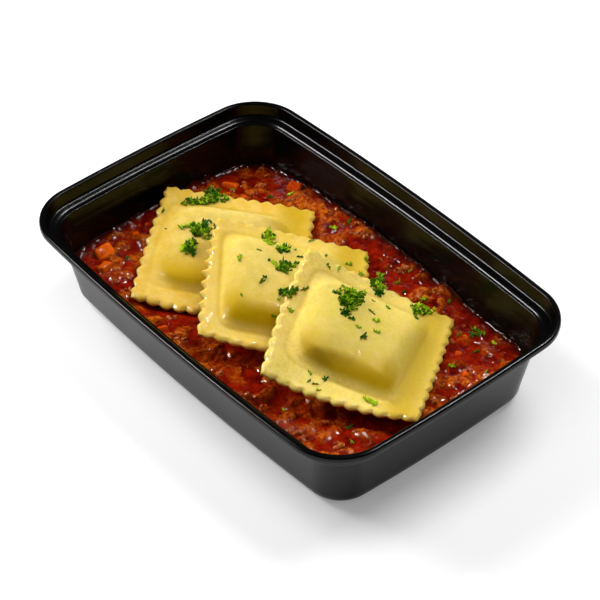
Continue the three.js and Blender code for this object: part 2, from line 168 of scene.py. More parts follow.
# %% Material helpers
class Finish:
    """One material and its nodes."""

    def __init__(self, name, soak=None, **shader):
        """`soak` is how much light soaks in, how many metres deep, and how deep for each colour."""
        self.material = bpy.data.materials.new(name)
        self.material.use_nodes = True
        self.tree = self.material.node_tree
        self.shader = self.tree.nodes["Principled BSDF"]
        for key, value in shader.items():
            self.shader.inputs[key.replace("_", " ")].default_value = value
        for key, value in zip(("Weight", "Scale", "Radius"), soak or ()):
            self.shader.inputs["Subsurface " + key].default_value = value
        print("finish", name)

    def node(self, kind, **settings):
        """Adds a node with these settings."""
        made = self.tree.nodes.new("ShaderNode" + kind)
        for key, value in settings.items():
            setattr(made, key, value)
        return made

    def link(self, output, socket):
        """Joins an output of one node to a socket of another."""
        self.tree.links.new(output, socket)

    def feed(self, name, output):
        """Links an output to a socket of the shader."""
        self.link(output, self.shader.inputs[name])

    def attribute(self, name):
        """The number that `paint` has stored under this name."""
        return self.node("Attribute", attribute_name=name).outputs["Fac"]

    def grain(self, size, detail=2.0, roughness=0.5):
        """Noise with features about `size` millimetres across."""
        made = self.node("TexNoise")
        made.inputs["Scale"].default_value = 1 / (size * MM)
        made.inputs["Detail"].default_value = detail
        made.inputs["Roughness"].default_value = roughness
        self.link(self.node("TexCoord").outputs["Object"], made.inputs["Vector"])
        return made.outputs["Fac"]

    def stretch(self, value, low, high, to_low=0.0, to_high=1.0):
        """Maps a range of a value onto another range."""
        made = self.node("MapRange")
        sockets = ("From Min", "From Max", "To Min", "To Max")
        for socket, number in zip(sockets, (low, high, to_low, to_high)):
            made.inputs[socket].default_value = number
        self.link(value, made.inputs["Value"])
        return made.outputs["Result"]

    def patches(self, size, low, high, to_low=0.0, to_high=1.0, **noise_settings):
        """Blotches about `size` millimetres across: grain mapped from one range onto another."""
        return self.stretch(self.grain(size, **noise_settings), low, high, to_low, to_high)

    def combine(self, operation, first, second):
        """Arithmetic on two outputs."""
        made = self.node("Math", operation=operation)
        self.link(first, made.inputs[0])
        self.link(second, made.inputs[1])
        return made.outputs[0]

    def mix(self, factor, first, second):
        """Mixes two colours by the output of a node; each is a colour or an output too."""
        made = self.node("Mix", data_type="RGBA")
        # A Mix node has sockets for each kind of value: its colours are inputs 6 and 7, and output 2.
        self.link(factor, made.inputs[0])
        for socket, value in zip(made.inputs[6:8], (first, second)):
            if isinstance(value, bpy.types.NodeSocket):
                self.link(value, socket)
            else:
                socket.default_value = (*value, 1)
        return made.outputs[2]

    def bump(self, height, depth, strength=1.0):
        """Adds bumps `depth` millimetres high to those made before, and returns their node."""
        made = self.node("Bump")
        made.inputs["Strength"].default_value = strength
        made.inputs["Distance"].default_value = depth * MM
        self.link(height, made.inputs["Height"])
        before = self.shader.inputs["Normal"].links
        if before:
            self.link(before[0].from_socket, made.inputs["Normal"])
        self.link(made.outputs["Normal"], self.shader.inputs["Normal"])
        return made


# %% [markdown]
# ## The tray's finish
# Take-away trays are moulded from black polypropylene, which is shiny but not quite mirror-like. A very
# dark base colour leaves the look to the reflections. Slight unevenness in the roughness keeps the
# walls from looking like glass. A drawing of smears could do the same, but noise needs no file and fits
# any size.

# %% Tray finish
tray_finish = Finish("black_plastic", Base_Color=(0.0012, 0.0012, 0.0013, 1), Roughness=0.2, IOR=1.45,
                     Specular_IOR_Level=0.23)
tray_finish.feed("Roughness", tray_finish.patches(22, 0.3, 0.7, 0.16, 0.24, detail=4))

# %% [markdown]
# ## The tray
# The tray is one thin skin: a rounded bottom edge, a steep wall, a ledge that the lid sits on, a short
# step and a rim that turns down. It could be cut from blocks, but a drawn section that is swept round a
# rounded rectangle follows the way such trays are drawn. This cell gives the rectangle, whose sides
# bulge a little, for any distance inside the rim.

# %% Tray outline
TRAY = dict(length=222.0, width=149.6, height=45.2, corner=22.8, end_bow=2.0, side_bow=3.9, wall=0.8,
            skirt=2.7, land=2.7, step_inset=3.65, step_depth=6.4, ledge_inset=7.7, ledge_fall=0.8,
            ledge_lap=0.4, foot_inset=14.0, foot=6.7)
STEP_Z = TRAY["height"] - TRAY["step_depth"]
LEDGE_Z = STEP_Z - TRAY["ledge_fall"]
WALL_CORNER = TRAY["corner"] - TRAY["ledge_inset"]


def wall_inset(z):
    """How far the wall's outer face is inside the rim's outline at height z."""
    inwards = TRAY["ledge_inset"] + TRAY["ledge_lap"] - TRAY["foot_inset"]
    return TRAY["foot_inset"] + inwards * (z / STEP_Z)


def tray_outline(inset, radius, arc=14, side=22):
    """A rounded rectangle with slightly bulging sides, as x and y."""
    half = np.array([TRAY["length"] / 2 - TRAY["end_bow"], TRAY["width"] / 2 - TRAY["side_bow"]])
    a, b = half - inset
    flat = []
    for sx, sy, start in ((1, -1, -90), (1, 1, 0), (-1, 1, 90), (-1, -1, 180)):
        angles = np.radians(start + np.linspace(0, 90, arc + 1))
        middle = np.array([sx * (a - radius), sy * (b - radius)])
        flat.append(middle + radius * np.stack([np.cos(angles), np.sin(angles)], 1))
    points = []
    for corner, following in zip(flat, flat[1:] + flat[:1]):
        shares = np.linspace(0, 1, side + 1)[1:-1, None]
        points += [corner, corner[-1] * (1 - shares) + following[0] * shares]
    x, y = np.concatenate(points).T
    return np.stack([x * (1 + TRAY["end_bow"] / half[0] * (1 - (y / b) ** 2)),
                     y * (1 + TRAY["side_bow"] / half[1] * (1 - (x / a) ** 2))], 1)


def plan_corner(inset, z):
    """Corner radius, seen from above, of the section's point at this inset and height."""
    if z > LEDGE_Z - 0.5:
        return TRAY["corner"] - inset
    return WALL_CORNER - (inset - wall_inset(max(z, TRAY["foot"])))


print("wall", round(wall_inset(TRAY["foot"]), 2), "mm inside the rim at its foot")

# %% [markdown]
# ## The section and the sweep
# The section is a line of corners, from the middle of the bottom up the outside, over the rim and down
# the inside. A bevel modifier would round every corner alike. Here each corner has its own radius,
# since it is these small roundings that catch the light as bright lines. Each point of the section
# becomes one ring.

# %% Tray section and sweep
def rounded(section, steps=5):
    """Rounds each corner of a section given as inset, height and radius."""
    result = []
    for k, (inset, z, radius) in enumerate(section):
        here = np.array([inset, z])
        if radius == 0:
            result.append(here)
            continue
        before = np.array(section[k - 1][:2]) - here
        after = np.array(section[k + 1][:2]) - here
        start = here + before / np.linalg.norm(before) * radius
        end = here + after / np.linalg.norm(after) * radius
        for t in np.linspace(0, 1, steps + 1):
            result.append((1 - t) ** 2 * start + 2 * t * (1 - t) * here + t ** 2 * end)
    return np.array(result)


def foot_section(offset, steps=8):
    """The round bottom edge, from the ground up to the wall."""
    radius = TRAY["foot"] - offset
    angles = np.linspace(0, math.pi / 2, steps + 1)
    inset = wall_inset(TRAY["foot"]) + offset + radius * (1 - np.sin(angles))
    return np.stack([inset, offset + radius * (1 - np.cos(angles))], 1)


def tray_section():
    """The closed section as inset and height; each corner between the two feet has its own radius."""
    top, t, land, step = (TRAY[key] for key in ("height", "wall", "land", "step_inset"))
    halfway, hem = 20, top - TRAY["skirt"]
    outside = [(wall_inset(halfway), halfway, 0), (wall_inset(LEDGE_Z - t), LEDGE_Z - t, 0.5),
               (step - t, STEP_Z - t, 0.7), (land - t, top - t, 0.4), (t, top - t, 0.3), (t, hem, 0.1)]
    inside = [(0, hem, 0.25), (0, top, 1.3), (land, top, 0.8), (step, STEP_Z, 1.2),
              (TRAY["ledge_inset"], LEDGE_Z, 2.3), (wall_inset(halfway) + t, halfway, 0)]
    return np.concatenate([foot_section(0), rounded(outside + inside), foot_section(t)[::-1]])


tray_rings = []
for inset, z in tray_section():
    outline = tray_outline(inset, plan_corner(inset, z))
    tray_rings.append(np.column_stack([outline, np.full(len(outline), z)]))
tray_points, tray_faces = skin_over(tray_rings, (0, 0, 0), (0, 0, TRAY["wall"]))
make_piece("tray_shell", tray_points, tray_faces, tray_finish.material, "tray")
print(len(tray_rings), "rings of", len(tray_rings[0]), "points")

# %% [markdown]
# ## The shape of a ravioli
# A ravioli is two sheets of dough pressed together round a spoon of filling and cut with a fluted
# wheel. It could be sculpted, but all three share one form, so a formula gives them all: a square
# pillow with sloping sides, a thin border, and a scalloped edge. Each one is then bent and leans in its
# own way. This first cell holds the measures of all three, so that any of them can be changed on its
# own.

# %% Ravioli values
PASTA = dict(side=70.4, teeth=11, thick=1.35, sink=1.5, dome=28.5)
# Lengths are in millimetres, and values for four sides are in the order left, back, right, front.
# The pillow has a rise, and on each side the line of its foot, how far that line slants over 20 mm, the
# width of the slope, the roundness of its fillet and crest, and the wedge by which it thins. `corners`
# rounds its corners, `bow` steepens the ends of its front slope, and a dent is an x, a y, a size and a
# depth. The edge bulges on each side, and its teeth have a depth and a pointedness.
RAVIOLI = dict(
    back=dict(centre=(-48.0, -1.5, 20.3), turn=38.5, lean_x=1.2, lean_y=5.0, twist=0.7, sag=1.2,
              droop=(-1.0, 0, 0.7, -0.2), taper=0, bulge=(0.9, 1.6, 1.8, 2.6), under="middle",
              rise=8.9, wedge=(0, 0, 0, 0.38), corners=(1.24, 1.16, 1.16, 1.26), bow=0,
              dents=((-7, -8, 7, 0.25),),
              foot=(31.0, 27.5, 29.0, 27.0), slant=(0, 0, 0, 0), fillet=(3.0, 1.0, 2.0, 0.8),
              slope=(12, 7, 11, 6.5), crest=(0.5, 0.35, 0.5, 0.25), tooth=(1.6, 1.6, 1.5, 1.6),
              point=(0.3, 0.2, 0.5, 0), pale=0.1, seed=3.1),
    middle=dict(centre=(-5.2, -0.6, 26.2), turn=45.3, lean_x=10.9, lean_y=2.5, twist=1.9, sag=2.4,
                droop=(0, 0.5, 0, 0.8), taper=0, bulge=(1.5, 2.8, 1.2, 2.0), under="front",
                rise=9.6, wedge=(0, 0, 0.2, 0), corners=(1.34, 1.22, 1.24, 1.32), bow=0,
                dents=((2, 12, 7, 0.25),),
                foot=(29.8, 28.5, 28.5, 29.8), slant=(1.5, 0, 0, 0), fillet=(0.8, 3.0, 2.0, 1.0),
                slope=(8, 12, 12, 10), crest=(0.5, 0.6, 0.5, 0.3), tooth=(2.6, 1.2, 1.4, 0.4),
                point=(0.7, 0.1, 0.4, 0), pale=0.45, seed=11.7),
    front=dict(centre=(42.9, 1.1, 26.6), turn=34.2, lean_x=15.6, lean_y=2.9, twist=4.2, sag=3.2,
               droop=(-0.8, 0, -0.6, 0), taper=0.02, bulge=(1.6, 2.4, 0.8, 1.0), under=None,
               rise=10.3, wedge=(0, 0, 0.3, 0), corners=(1.12, 1.22, 1.28, 1.6), bow=0.55, dents=(),
               foot=(29.7, 28.5, 24.6, 26.2), slant=(0, 0, 1.9, 2.0), fillet=(2.0, 2.0, 2.5, 0.6),
               slope=(10, 14, 7.5, 10.4), crest=(0.6, 0.6, 0.35, 0.11), tooth=(1.1, 1.4, 1.2, 1.3),
               point=(0, 0.2, 0.3, 0), pale=1.0, seed=23.9),
)
print("values of", len(RAVIOLI), "ravioli,", PASTA["side"], "mm square")

# %% [markdown]
# ## The pillow
# The filling pushes the upper sheet up into a pillow with a slope on each side. Cloth could be blown up
# over a filling, but a formula can be compared with the real thing and mended one number at a time.
# Each slope leaves the border in a soft fillet and turns over a crest, and the four of them are blended
# by direction.

# %% Pillow form
SLANT_RUN = 20  # the length over which `slant` is given
CROSSING = 20  # the length over which one side's values pass into the other's
BOW_REACH = 23  # how far from the middle `bow` has its full effect
CORNER_FADE = 0.3
WEDGE_START, WEDGE_RUN = -22, 48


def towards_sides(x, y, values):
    """Blends four values, one for each side, by the direction from the middle."""
    left, back, right, front = values
    total = x ** 2 + y ** 2 + 1e-6
    across = np.where(x < 0, left, right)
    along = np.where(y < 0, front, back)
    return (across * x ** 2 + along * y ** 2) / total


def slope_share(inside, width, fillet, crest):
    """How high one slope has climbed at a distance inside its foot line."""
    climb = (inside + np.hypot(inside, fillet)) / 2 / width
    climb = climb * (1.25 - 0.25 * np.minimum(climb, 1))
    level = np.hypot(1, crest)
    return (level + climb - np.hypot(1 - climb, crest)) / (level + 1)


def foot_of(one, x, y):
    """Distances from the middle to the pillow's foot, across and along, at x and y."""
    left, back, right, front = one["foot"]
    at_left, at_back, at_right, at_front = one["slant"]
    across = np.where(x < 0, left + at_left * y / SLANT_RUN, right + at_right * y / SLANT_RUN)
    along = np.where(y < 0, front + at_front * x / SLANT_RUN, back + at_back * x / SLANT_RUN)
    return across, along


def rounded_reach(one, x, y, power):
    """Share of the way from the middle to a foot line whose corners are rounded."""
    across, along = foot_of(one, x, y)
    return (np.abs(x / across) ** power + np.abs(y / along) ** power) ** (1 / power)


def pillow_share(x, y, one):
    """Share of the pillow's full height, from 0 on the border to 1 in the middle."""
    across, along = foot_of(one, x, y)
    left, back, right, (width, *front) = zip(one["slope"], one["fillet"], one["crest"])
    width = width * (1 - one["bow"] * np.minimum(1, ((x - 1) / BOW_REACH) ** 2))
    inside_x, inside_y = across - np.abs(x), along - np.abs(y)
    to_right, to_back = smoothstep(0.5 + x / CROSSING), smoothstep(0.5 + y / CROSSING)
    share_x = (1 - to_right) * slope_share(inside_x, *left) + to_right * slope_share(inside_x, *right)
    share_y = (1 - to_back) * slope_share(inside_y, width, *front)
    share_y = share_y + to_back * slope_share(inside_y, *back)
    both = share_x * share_y / np.maximum(share_x + share_y - share_x * share_y, 1e-9)
    # The corners: a limit for each, blended by direction, beyond which the pillow ends.
    reach = rounded_reach(one, x, y, 2.5)
    front_left, back_left, back_right, front_right = one["corners"]
    in_front = front_left + (front_right - front_left) * to_right
    limit = in_front + (back_left + (back_right - back_left) * to_right - in_front) * to_back
    crown = 0.9 + 0.1 * np.maximum(0, 1 - reach ** 2)
    share = crown * smoothstep((limit - reach) / CORNER_FADE) * both
    for wedge, towards in zip(one["wedge"], (-x, y, x, -y)):
        share = share * (1 - wedge * np.clip((towards - WEDGE_START) / WEDGE_RUN, 0, 1) ** 0.8)
    for dent_x, dent_y, size, depth in one["dents"]:
        share = share * (1 - depth * np.exp(-((x - dent_x) ** 2 + (y - dent_y) ** 2) / size ** 2))
    return share


def underside_share(x, y):
    """The same for the flatter underside, which is a plain dome."""
    reach = np.maximum(np.abs(x), np.abs(y)) / PASTA["dome"]
    return np.clip(1.0 - reach ** 4, 0, 1)


for name, one in RAVIOLI.items():
    middle_share = pillow_share(*np.zeros((2, 1)), one)[0]
    print(name, "pillow", round(float(one["rise"] * middle_share), 1), "mm high")

# %% [markdown]
# ## How each one lies
# Soft dough follows what carries it. Three angles lean each ravioli, a slight sag and twist bend its
# middle layer, and a side can droop. A physics run could settle them, but it would end a little
# differently from the CAD solids. Where one lies on another, the lower pillow gives way, as soft
# filling does: a push that grows smoothly keeps the two apart and leaves no crease.

# %% Bend and press
PRESS = dict(gap=0.35, reach=2.0, rise=0.6, blend=0.9)
DROOP_START = 0.45  # share of the way from the middle to a side
DROOP_RUN = 0.55


def plane_of(one):
    """Right, back and up of the plane that a ravioli lies in."""
    turn, lean_x, lean_y = (math.radians(one[key]) for key in ("turn", "lean_x", "lean_y"))
    level_share = math.cos(lean_x)
    right = np.array([math.cos(turn) * level_share, math.sin(turn) * level_share, -math.sin(lean_x)])
    level = np.cross((0, 0, 1), right)
    level /= np.linalg.norm(level)
    back = level * math.cos(lean_y) + np.cross(right, level) * math.sin(lean_y)
    return np.stack([right, back, np.cross(right, back)])


def lift_of(one, x, y):
    """How far the middle layer of dough lies above the plane."""
    u, v = 2 * x / PASTA["side"], 2 * y / PASTA["side"]
    left, back, right, front = one["droop"]
    droop = 0
    for fall, share in ((left, -u), (back, v), (right, u), (front, -v)):
        droop = droop + fall * smoothstep((share - DROOP_START) / DROOP_RUN)
    return one["sag"] * (u ** 2 - 1 / 3) - one["twist"] * u * v - droop


def press(points, upper):
    """Pushes points down, clear of the ravioli that lies over them."""
    axes = plane_of(upper)
    x, y, z = ((points - upper["centre"]) @ axes.T).T
    underside = lift_of(upper, x, y) - PASTA["thick"] - PASTA["sink"] * underside_share(x, y)
    underside = underside - PRESS["gap"]
    beyond = np.maximum(np.abs(x), np.abs(y)) - PASTA["side"] / 2 - PRESS["reach"]
    excess = z - underside - PRESS["rise"] * np.maximum(0, beyond)
    push = (excess + np.hypot(excess, PRESS["blend"])) / 2
    return points - push[:, None] * axes[2]


def place(one, x, y, above):
    """Points of a ravioli in the tray, from x and y in its plane and a height above its middle layer."""
    wide = x * (1 + one["taper"] * 2 * y / PASTA["side"])
    points = np.stack([wide, y, lift_of(one, x, y) + above], 1) @ plane_of(one) + one["centre"]
    if one["under"]:
        pressed = press(points, RAVIOLI[one["under"]])
        points = np.where((above > 0)[:, None], pressed, points)
    return points


for name, one in RAVIOLI.items():
    print(name, "leans", one["lean_x"], "and", one["lean_y"], "degrees, under", one["under"])

# %% [markdown]
# ## The pasta's finish
# Cooked egg dough is pale yellow, moist and slightly see-through. Subsurface scattering lets light soak
# in and come out warmer, which stops it from looking like painted clay. The border and the pillow have
# their own yellow, the pillow a greener one from the filling under it. Paler clouds and darker specks
# lie over both. A deep yellow is painted shade on the pillow's front slope, on its right side and in
# the groove round its foot. A painted image could hold all this, but numbers on the mesh's points place
# each colour just where the shape changes.

# %% Pasta colours
pasta_finish = Finish("egg_pasta", soak=(0.7, 0.0025, (1.0, 0.6, 0.12)), Roughness=0.5, IOR=1.42,
                      Specular_IOR_Level=0.08, Coat_Weight=0.05, Coat_Roughness=0.1)
filling, pale = pasta_finish.attribute("filling"), pasta_finish.attribute("pale")
border = pasta_finish.mix(pale, (0.71, 0.42, 0.038), (0.97, 0.74, 0.17))
pillow = pasta_finish.mix(pale, (0.62, 0.48, 0.14), (0.68, 0.55, 0.095))
dough = pasta_finish.mix(filling, border, pillow)
clouds = pasta_finish.patches(6, 0.40, 0.62, 0.0, 0.5, detail=5, roughness=0.65)
dough = pasta_finish.mix(clouds, dough, (0.86, 0.65, 0.22))
specks = pasta_finish.patches(1.7, 0.44, 0.64, 0.0, 0.45, detail=3, roughness=0.65)
dough = pasta_finish.mix(specks, dough, (0.74, 0.54, 0.055))
# Painted shade: a deep yellow where the dough lies in shade, on the pillow's front and right slopes and
# in the groove.
dough = pasta_finish.mix(pasta_finish.attribute("painted_shade"), dough, (0.53, 0.33, 0.0003))
pasta_finish.feed("Base Color", dough)

# %% [markdown]
# ## The pasta's damp skin
# Boiled dough is not wet all over: it is slightly rough, with small wet spots that glint, fewer on the
# palest ravioli, and a wet rolled edge. One roughness for the whole would look waxed. A clear coat that
# noise lets through in spots gives the glints, and two sizes of bumps break them up.

# %% Pasta skin
pasta_finish.feed("Roughness", pasta_finish.patches(4, 0.35, 0.65, 0.42, 0.6, detail=3))
pasta_finish.bump(pasta_finish.grain(3.5, detail=3), 0.3, 0.5)
fine_bumps = pasta_finish.bump(pasta_finish.grain(0.9, detail=3, roughness=0.6), 0.2, 0.5)
pasta_finish.feed("Coat Normal", fine_bumps.outputs["Normal"])
wet_spots = pasta_finish.combine("MULTIPLY", pasta_finish.patches(2.2, 0.60, 0.66, 0.03, 0.8),
                                 pasta_finish.stretch(pale, 0.4, 1, 1, 0.25))
wet_edge = pasta_finish.stretch(pasta_finish.attribute("edge"), 0.2, 0.9)
pasta_finish.feed("Coat Weight", pasta_finish.combine("MAXIMUM", wet_spots, wet_edge))
print("pasta finish has", len(pasta_finish.tree.nodes), "nodes")

# %% [markdown]
# ## The three ravioli
# A fluted wheel cuts lobes into the edge. A grid of points is stretched over the square, with its outer
# lines pushed out into those lobes. A ring-shaped grid would be the other choice, but it leaves a star
# of thin faces in the middle.

# %% Fluted edge
CELLS_PER_TOOTH = 12
GRID = PASTA["teeth"] * CELLS_PER_TOOTH


def lobes(along, point):
    """0 in a notch of the edge and 1 on a tip; `point` is 0 for round tips and 1 for pointed ones."""
    phase = (along + 1) / 2 * PASTA["teeth"] * math.pi
    return (1 - point) * np.abs(np.sin(phase)) + point * (1 - np.abs(np.cos(phase)))


def spread_grid(one, inset):
    """x and y of a square grid whose border follows the fluted edge, set in by `inset`."""
    line = np.linspace(-1, 1, GRID + 1)
    u, v = (g.ravel() for g in np.meshgrid(line, line))
    half = PASTA["side"] / 2 - inset
    depth, point = towards_sides(u, v, one["tooth"]), towards_sides(u, v, one["point"])
    left, back, right, front = one["bulge"]

    def side(along, across, bulge):
        """One coordinate: how far the points lie along it, pushed out most on the outer lines."""
        uneven = 1 + 0.3 * np.sin(across * 9 + one["seed"]) * np.sin(across * 23 + one["seed"])
        edge = 0.4 + depth * uneven * (lobes(across, point) - 0.5) * smoothstep((1 - np.abs(across)) * 7)
        reach = bulge * (1 - across ** 2) * np.abs(along) ** 3
        return along * half + np.sign(along) * (reach + edge * np.abs(along) ** 26)

    return side(u, v, np.where(u < 0, left, right)), side(v, u, np.where(v < 0, front, back)), u, v


def boundary():
    """Indices of the grid's outer points, anticlockwise from its front left corner."""
    n = GRID + 1
    front, right = np.arange(n - 1), np.arange(n - 1) * n + n - 1
    back, left = n * n - 1 - np.arange(n - 1), (n - 1 - np.arange(n - 1)) * n
    return np.concatenate([front, right, back, left])


print("grid of", GRID, "by", GRID, "cells,", len(boundary()), "points round the edge")

# %% [markdown]
# ## Two sheets and a rim
# The upper sheet carries the pillow, a shallow groove round its foot and an edge that rolls down. Its
# lobes are a little thicker than the notches between them, because the wheel pinches the dough there.
# The lower sheet is nearly flat. Sculpting would give the same small unevenness, but noise gives it to
# all three at once. Hoops of points between the two sheets close the edge, and each point keeps the
# numbers that the finish reads.

# %% Sheets of dough
RIM_START, RIM_RUN = 0.93, 0.07  # shares of the way from the middle to the edge
SHEET_INSET = 0.35
HALF_FOOT = 29
GROOVE_WIDTH = 1.1


def groove_share(one, x, y):
    """The groove just outside the pillow's foot, deeper where the fillet is tight."""
    beyond_foot = (rounded_reach(one, x, y, 9) - 1) * HALF_FOOT - 0.4
    groove = np.exp(-((beyond_foot / GROOVE_WIDTH) ** 2)) / (0.3 + towards_sides(x, y, one["fillet"]))
    return groove * (0.6 + 0.4 * smoothstep(0.5 + y / 40))


def ravioli_points(one, side):
    """The top or the underside: its points, and for each the pillow's share, the painted shade and the
    rim.
    """
    x, y, u, v = spread_grid(one, SHEET_INSET)
    share = pillow_share(x, y, one)
    rim = np.clip((np.maximum(np.abs(u), np.abs(v)) - RIM_START) / RIM_RUN, 0, 1)
    roll = 1 - np.sqrt(1 - 0.97 * rim ** 2.5)
    notch = lobes(np.where(np.abs(u) > np.abs(v), v, u), 0.3)
    # Each sheet of each ravioli is cut from its own layer of the noise.
    spot = np.stack([x, y, np.full_like(x, one["seed"] * 7 + side * 40)], 1)
    uneven = 0.35 * rough(spot, 15) + 0.14 * rough(spot, 5) + 0.7 * share * rough(spot, 17, 5.3)
    groove = groove_share(one, x, y)
    if side > 0:
        above = PASTA["thick"] + one["rise"] * share + uneven
        above = above - 0.35 * groove + 0.5 * rim * notch - 1.2 * roll
    else:
        above = -(PASTA["thick"] + PASTA["sink"] * underside_share(x, y)) + 0.3 * uneven + 0.4 * roll
    # Painted shade: a deep yellow on the pillow's front slope, on its right side and in the groove,
    # where shade falls.
    front_slope_shade = smoothstep(-y / 24) * smoothstep(share * 2.6) * smoothstep((1.04 - share) * 2.2)
    shaded = 0.75 * smoothstep((x - 14) / 12) * (1 - 0.6 * share) * (1 - 0.25 * smoothstep((x - 29) / 5))
    painted_shade = np.clip(np.maximum(np.maximum(front_slope_shade, shaded), 0.8 * groove), 0, 1)
    return place(one, x, y, above), share, painted_shade, rim


for name, one in RAVIOLI.items():
    painted_shade = ravioli_points(one, 1)[2]
    print(name, "has dough stretched by", round(float(painted_shade.mean()), 2), "on average")

# %% Ravioli meshes
HOOP_LEVELS = (0.25, -0.2, -0.6)  # shares of the dough's thickness, from its middle layer


def ravioli_mesh(name, one):
    """Both sheets and the hoops between them as one piece."""
    n = GRID + 1
    top, share, painted_shade, rim = ravioli_points(one, 1)
    bottom = ravioli_points(one, -1)[0]
    index = np.arange(n * n).reshape(n, n)
    quads = np.stack([index[:-1, :-1], index[:-1, 1:], index[1:, 1:], index[1:, :-1]], -1).reshape(-1, 4)
    outer = boundary()
    x, y, _, _ = spread_grid(one, 0.0)
    count = len(outer)
    hoops, chains = [], [outer]
    for k, level in enumerate(HOOP_LEVELS):
        hoops.append(place(one, x[outer], y[outer], np.full(count, level * PASTA["thick"])))
        chains.append(2 * n * n + k * count + np.arange(count))
    chains.append(n * n + outer)
    points = np.concatenate([top, bottom, *hoops])
    faces = [quads, quads[:, ::-1] + n * n]
    for upper, lower in zip(chains, chains[1:]):
        faces.append(np.stack([upper, lower, np.roll(lower, -1), np.roll(upper, -1)], 1))
    piece = make_piece("ravioli_" + name + "_pasta", points, np.concatenate(faces).tolist(),
                       pasta_finish.material, "ravioli_" + name)
    sides = np.zeros(len(HOOP_LEVELS) * count)
    paint(piece, "filling", np.concatenate([share, share, sides]))
    paint(piece, "pale", np.full(len(points), one["pale"]))
    paint(piece, "painted_shade", np.concatenate([painted_shade, 0 * painted_shade, sides]))
    paint(piece, "edge", np.concatenate([rim, rim, sides + 1]))
    return piece


ravioli_pieces = {name: ravioli_mesh(name, one) for name, one in RAVIOLI.items()}

# %% [markdown]
# ## Finding the pasta again
# The sauce has to lie under the ravioli, and loose bits have to land on them. A shrinkwrap modifier
# could press one mesh onto another, but it moves points sideways. A ray that stops at the first surface
# it meets answers both questions, and a bounding volume tree makes thousands of rays quick.

# %% Search tree
def tree_of(pieces):
    """One search tree over several pieces."""
    points, faces = [], []
    for piece in pieces:
        start = len(points)
        points += [v.co.copy() for v in piece.data.vertices]
        faces += [[start + k for k in face.vertices] for face in piece.data.polygons]
    return BVHTree.FromPolygons(points, faces)


pasta_tree = tree_of(ravioli_pieces.values())
OPEN_AIR = 999


def pasta_above(x, y):
    """Height in millimetres of the pasta's underside over x and y, or OPEN_AIR."""
    spot = pasta_tree.ray_cast(Vector((x * MM, y * MM, 0)), Vector((0, 0, 1)))[0]
    return OPEN_AIR if spot is None else spot.z / MM


print("pasta over the tray's middle starts at", round(pasta_above(0, 0), 1), "mm")

# %% [markdown]
# ## Fixed but random
# Crumbs and flakes fall at random, yet the dish has to come out the same each time. Python's own
# generator could be seeded, but this small one gives the same draws as the CAD model's, so the large
# bumps of the sauce are where the solid has them.

# %% Random numbers
WORD = 0xFFFFFFFF
STRIDE = 0x6D2B79F5


def random_stream(seed):
    """A function that draws numbers from low to high, the same ones each time for one seed."""
    state = seed & WORD

    def draw(low=0.0, high=1.0):
        nonlocal state
        state = (state + STRIDE) & WORD
        t = ((state ^ (state >> 15)) * (1 | state)) & WORD
        t = ((t + (((t ^ (t >> 7)) * (61 | t)) & WORD)) & WORD) ^ t
        return low + (high - low) * (((t ^ (t >> 14)) & WORD) / (WORD + 1))

    return draw


print("first draw of stream 7:", round(random_stream(7)(), 4))

# %% [markdown]
# ## The sauce's finish
# The sauce is tomato and meat juice with an oily film: dark red, wet, and full of crumbs. A volume with
# crumbs in it would be truer but very slow, so the colour is on the surface: noise mixes brick red with
# a browner, more orange tone where meat shows, with less meat as painted shade before the ravioli's
# front edges. Low roughness and three sizes of bumps give small white glints. Along the wall the sauce
# is shallow and calmer, and there its colour is mixed towards near-black as painted shade.

# %% Sauce finish
sauce_finish = Finish("tomato_meat_sauce", soak=(0.1, 0.0015, (1.0, 0.25, 0.05)), Roughness=0.05,
                      IOR=1.42, Specular_IOR_Level=0.32)
meat_less_in_shade = sauce_finish.attribute("meat_less_in_shade")
tomato = sauce_finish.patches(5, 0.38, 0.64, detail=6, roughness=0.7)
sauce_red = sauce_finish.mix(tomato, (0.09, 0.001, 0.0001), (0.31, 0.010, 0.0002))
crumbly = sauce_finish.patches(1.6, 0.4, 0.62, detail=3, roughness=0.7)
sauce_brown = sauce_finish.mix(crumbly, (0.24, 0.018, 0.0004), (0.62, 0.14, 0.007))
sauce_colour = sauce_finish.mix(meat_less_in_shade, sauce_red, sauce_brown)
wall_shade_and_calm = sauce_finish.attribute("wall_shade_and_calm")
# Painted shade: along the wall, where the wall shades the sauce, its colour is mixed towards near-black.
sauce_finish.feed("Base Color", sauce_finish.mix(wall_shade_and_calm, sauce_colour, (0.02, 0.001, 0.0001)))
liveliness = sauce_finish.stretch(wall_shade_and_calm, 0, 0.6, 0.8, 0.06)
for size, depth in ((0.9, 0.08), (1.9, 0.24), (3.8, 0.75)):
    ripples = sauce_finish.bump(sauce_finish.grain(size, detail=1), depth)
    sauce_finish.link(liveliness, ripples.inputs["Strength"])

# %% [markdown]
# ## The sauce's surface
# The sauce fills the tray up to the ravioli. Its surface could be a fluid simulation, but a thick sauce
# that has been spooned in hardly flows, so a height formula does: nearly level, heaped up a little in
# places, lower in front of each ravioli, and with crumbs of three sizes that press through where the
# meat lies thick.

# %% Sauce values
SAUCE = dict(level=17.0, slope_x=-1 / 110, slope_y=1 / 90, bumps=140, gap=0.15,
             trench=2.7, trench_reach=4.5)
# Heaps: x, y, reach in x, reach in y, height.
HEAPS = ((-80, 8, 18, 22, 3), (-20, 60, 34, 22, 2.4), (-94, 54, 20, 16, -2.6))
draw = random_stream(7)
BUMPS = [(draw(-100, 100), draw(-64, 64), draw(3.5, 7), draw(0.6, 2.4)) for _ in range(SAUCE["bumps"])]
print(len(BUMPS), "bumps and", len(HEAPS), "heaps")

# %% Crumbs under the surface
CHANCES = 256  # the random numbers repeat after this many cells
CRUMB_REACH = 0.85


